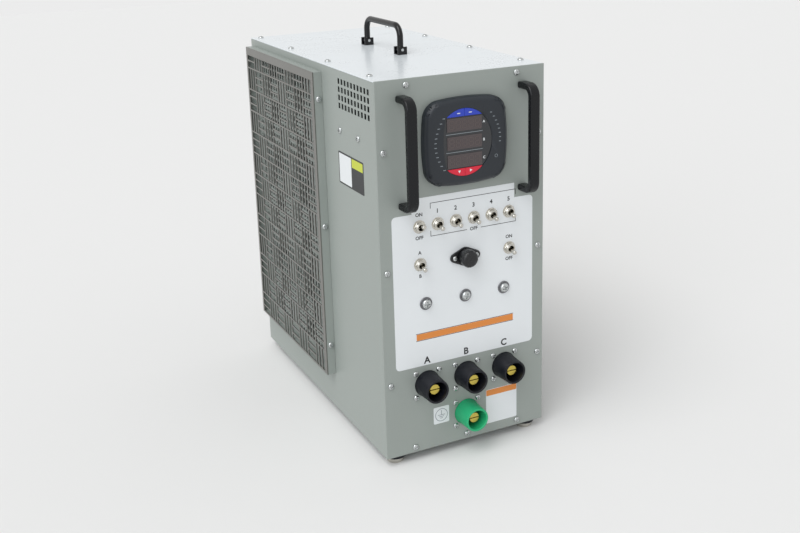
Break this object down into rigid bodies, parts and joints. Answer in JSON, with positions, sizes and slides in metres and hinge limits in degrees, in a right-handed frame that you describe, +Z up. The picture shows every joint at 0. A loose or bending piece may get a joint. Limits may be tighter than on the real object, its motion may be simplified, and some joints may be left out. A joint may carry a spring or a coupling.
{
  "type": "generator load bank",
  "caption": "Portable fan-cooled load bank with a control panel, power meter, toggle switches, single-pole receptacles, pull handles, a folding top handle and a screened exhaust.",
  "frame": {"origin": "centre of the whole object's footprint, on the ground plane", "axes": "+Z up, the control panel faces -Y, the exhaust guard is on the -X side and the intake fans on the +X side"},
  "size_m": [0.2664, 0.5158, 0.5774],
  "materials": {
    "painted_case": "satin",
    "painted_front": "satin",
    "painted_cover": "gloss",
    "galvanised_sheet": "matte",
    "black_rubber": "matte",
    "nickel_steel": "polished",
    "punched_steel": "satin",
    "black_handle": "satin",
    "black_steel": "gloss",
    "meter_plastic": "satin",
    "meter_glass": "gloss",
    "display_window": "gloss",
    "button_blue": "satin",
    "button_red": "satin",
    "label_film": "satin",
    "phenolic": "satin",
    "zinc_screw": "polished",
    "fuse_body": "satin",
    "dark_washer": "satin",
    "contact_brass": "satin",
    "receptacle_black": "satin",
    "receptacle_green": "satin",
    "fan_casting": "matte",
    "fan_black": "satin",
    "chrome_wire": "polished",
    "ceramic": "matte",
    "element_alloy": "matte",
    "core_steel": "matte",
    "bus_copper": "satin"
  },
  "bodies": {
    "case": {"base_pan": "painted_case", "left_side_panel": "painted_case", "right_side_panel": "painted_case", "rear_panel": "painted_case", "front_panel": "painted_front", "top_cover": "painted_cover", "divider_panel": "galvanised_sheet", "foot_pads": "black_rubber", "foot_glides": "nickel_steel", "exhaust_guard_frame": "painted_case", "exhaust_guard_screen": "punched_steel", "front_handle_left": "black_handle", "front_handle_right": "black_handle", "handle_blocks": "black_steel", "handle_pins": "black_steel", "meter_bezel": "meter_plastic", "meter_lens": "meter_glass", "meter_windows": "display_window", "meter_case": "meter_plastic", "control_label": "label_film", "toggle_bushings": "nickel_steel", "toggle_cases": "phenolic", "fuse_holder": "phenolic", "fuse_holder_screws": "zinc_screw", "stud_washers": "dark_washer", "stud_screws": "zinc_screw", "contact_pins": "contact_brass", "receptacle_screws": "zinc_screw", "front_panel_screws": "zinc_screw", "case_screws": "zinc_screw", "phase_a_sleeve": "receptacle_black", "phase_b_sleeve": "receptacle_black", "phase_c_sleeve": "receptacle_black", "ground_sleeve": "receptacle_green", "fan_frames": "fan_casting", "fan_guards": "chrome_wire", "element_rack": "galvanised_sheet", "insulators": "ceramic", "load_elements": "element_alloy", "contactors": "phenolic", "control_transformer": "core_steel", "bus_bars": "bus_copper", "current_sensors": "phenolic"},
    "master_load_lever": {"master_load_lever": "nickel_steel"},
    "load_step_1_lever": {"load_step_1_lever": "nickel_steel"},
    "load_step_2_lever": {"load_step_2_lever": "nickel_steel"},
    "load_step_3_lever": {"load_step_3_lever": "nickel_steel"},
    "load_step_4_lever": {"load_step_4_lever": "nickel_steel"},
    "load_step_5_lever": {"load_step_5_lever": "nickel_steel"},
    "voltage_select_lever": {"voltage_select_lever": "nickel_steel"},
    "control_power_lever": {"control_power_lever": "nickel_steel"},
    "meter_button_upper_left": {"meter_button_upper_left": "button_blue"},
    "meter_button_upper_right": {"meter_button_upper_right": "button_blue"},
    "meter_button_lower_left": {"meter_button_lower_left": "button_red"},
    "meter_button_lower_right": {"meter_button_lower_right": "button_red"},
    "fuse_cartridge": {"fuse_cartridge": "fuse_body"},
    "fuse_knob": {"fuse_knob": "phenolic"},
    "top_handle": {"top_handle": "black_steel"},
    "fan_rotor_lower": {"fan_rotor_lower": "fan_black"},
    "fan_rotor_upper": {"fan_rotor_upper": "fan_black"}
  },
  "joints": [
    {"name": "master_load_toggle", "type": "hinge", "parent": "case", "child": "master_load_lever", "pos_m": [-0.06275, -0.2239, 0.3364], "axis": [-1, 0, 0], "range_deg": [-26, 0]},
    {"name": "load_step_1_toggle", "type": "hinge", "parent": "case", "child": "load_step_1_lever", "pos_m": [-0.03565, -0.2239, 0.3364], "axis": [-1, 0, 0], "range_deg": [0, 26]},
    {"name": "load_step_2_toggle", "type": "hinge", "parent": "case", "child": "load_step_2_lever", "pos_m": [-0.00855, -0.2239, 0.3364], "axis": [-1, 0, 0], "range_deg": [0, 26]},
    {"name": "load_step_3_toggle", "type": "hinge", "parent": "case", "child": "load_step_3_lever", "pos_m": [0.01855, -0.2239, 0.3364], "axis": [-1, 0, 0], "range_deg": [0, 26]},
    {"name": "load_step_4_toggle", "type": "hinge", "parent": "case", "child": "load_step_4_lever", "pos_m": [0.04565, -0.2239, 0.3364], "axis": [-1, 0, 0], "range_deg": [0, 26]},
    {"name": "load_step_5_toggle", "type": "hinge", "parent": "case", "child": "load_step_5_lever", "pos_m": [0.07275, -0.2239, 0.3364], "axis": [-1, 0, 0], "range_deg": [0, 26]},
    {"name": "voltage_select_toggle", "type": "hinge", "parent": "case", "child": "voltage_select_lever", "pos_m": [-0.06275, -0.2239, 0.2843], "axis": [-1, 0, 0], "range_deg": [0, 26]},
    {"name": "control_power_toggle", "type": "hinge", "parent": "case", "child": "control_power_lever", "pos_m": [0.07325, -0.2239, 0.2843], "axis": [-1, 0, 0], "range_deg": [0, 26]},
    {"name": "meter_button_upper_left_press", "type": "slide", "parent": "case", "child": "meter_button_upper_left", "axis": [0, 1, 0], "range_m": [0, 0.001], "stiffness_N_per_m": 600},
    {"name": "meter_button_upper_right_press", "type": "slide", "parent": "case", "child": "meter_button_upper_right", "axis": [0, 1, 0], "range_m": [0, 0.001], "stiffness_N_per_m": 600},
    {"name": "meter_button_lower_left_press", "type": "slide", "parent": "case", "child": "meter_button_lower_left", "axis": [0, 1, 0], "range_m": [0, 0.001], "stiffness_N_per_m": 600},
    {"name": "meter_button_lower_right_press", "type": "slide", "parent": "case", "child": "meter_button_lower_right", "axis": [0, 1, 0], "range_m": [0, 0.001], "stiffness_N_per_m": 600},
    {"name": "fuse_pull", "type": "slide", "parent": "case", "child": "fuse_cartridge", "axis": [0, -1, 0], "range_m": [0, 0.045]},
    {"name": "fuse_knob_turn", "type": "hinge", "parent": "fuse_cartridge", "child": "fuse_knob", "pos_m": [0.00425, -0.2329, 0.2843], "axis": [0, -1, 0], "range_deg": [0, 45]},
    {"name": "top_handle_fold", "type": "hinge", "parent": "case", "child": "top_handle", "pos_m": [0.00425, 0.0161, 0.5398], "axis": [0, 1, 0], "range_deg": [-88, 88]},
    {"name": "fan_lower_spin", "type": "hinge", "parent": "case", "child": "fan_rotor_lower", "pos_m": [0.08825, 0.0931, 0.153], "axis": [1, 0, 0], "continuous": true},
    {"name": "fan_upper_spin", "type": "hinge", "parent": "case", "child": "fan_rotor_upper", "pos_m": [0.08825, 0.0931, 0.389], "axis": [1, 0, 0], "continuous": true}
  ]
}
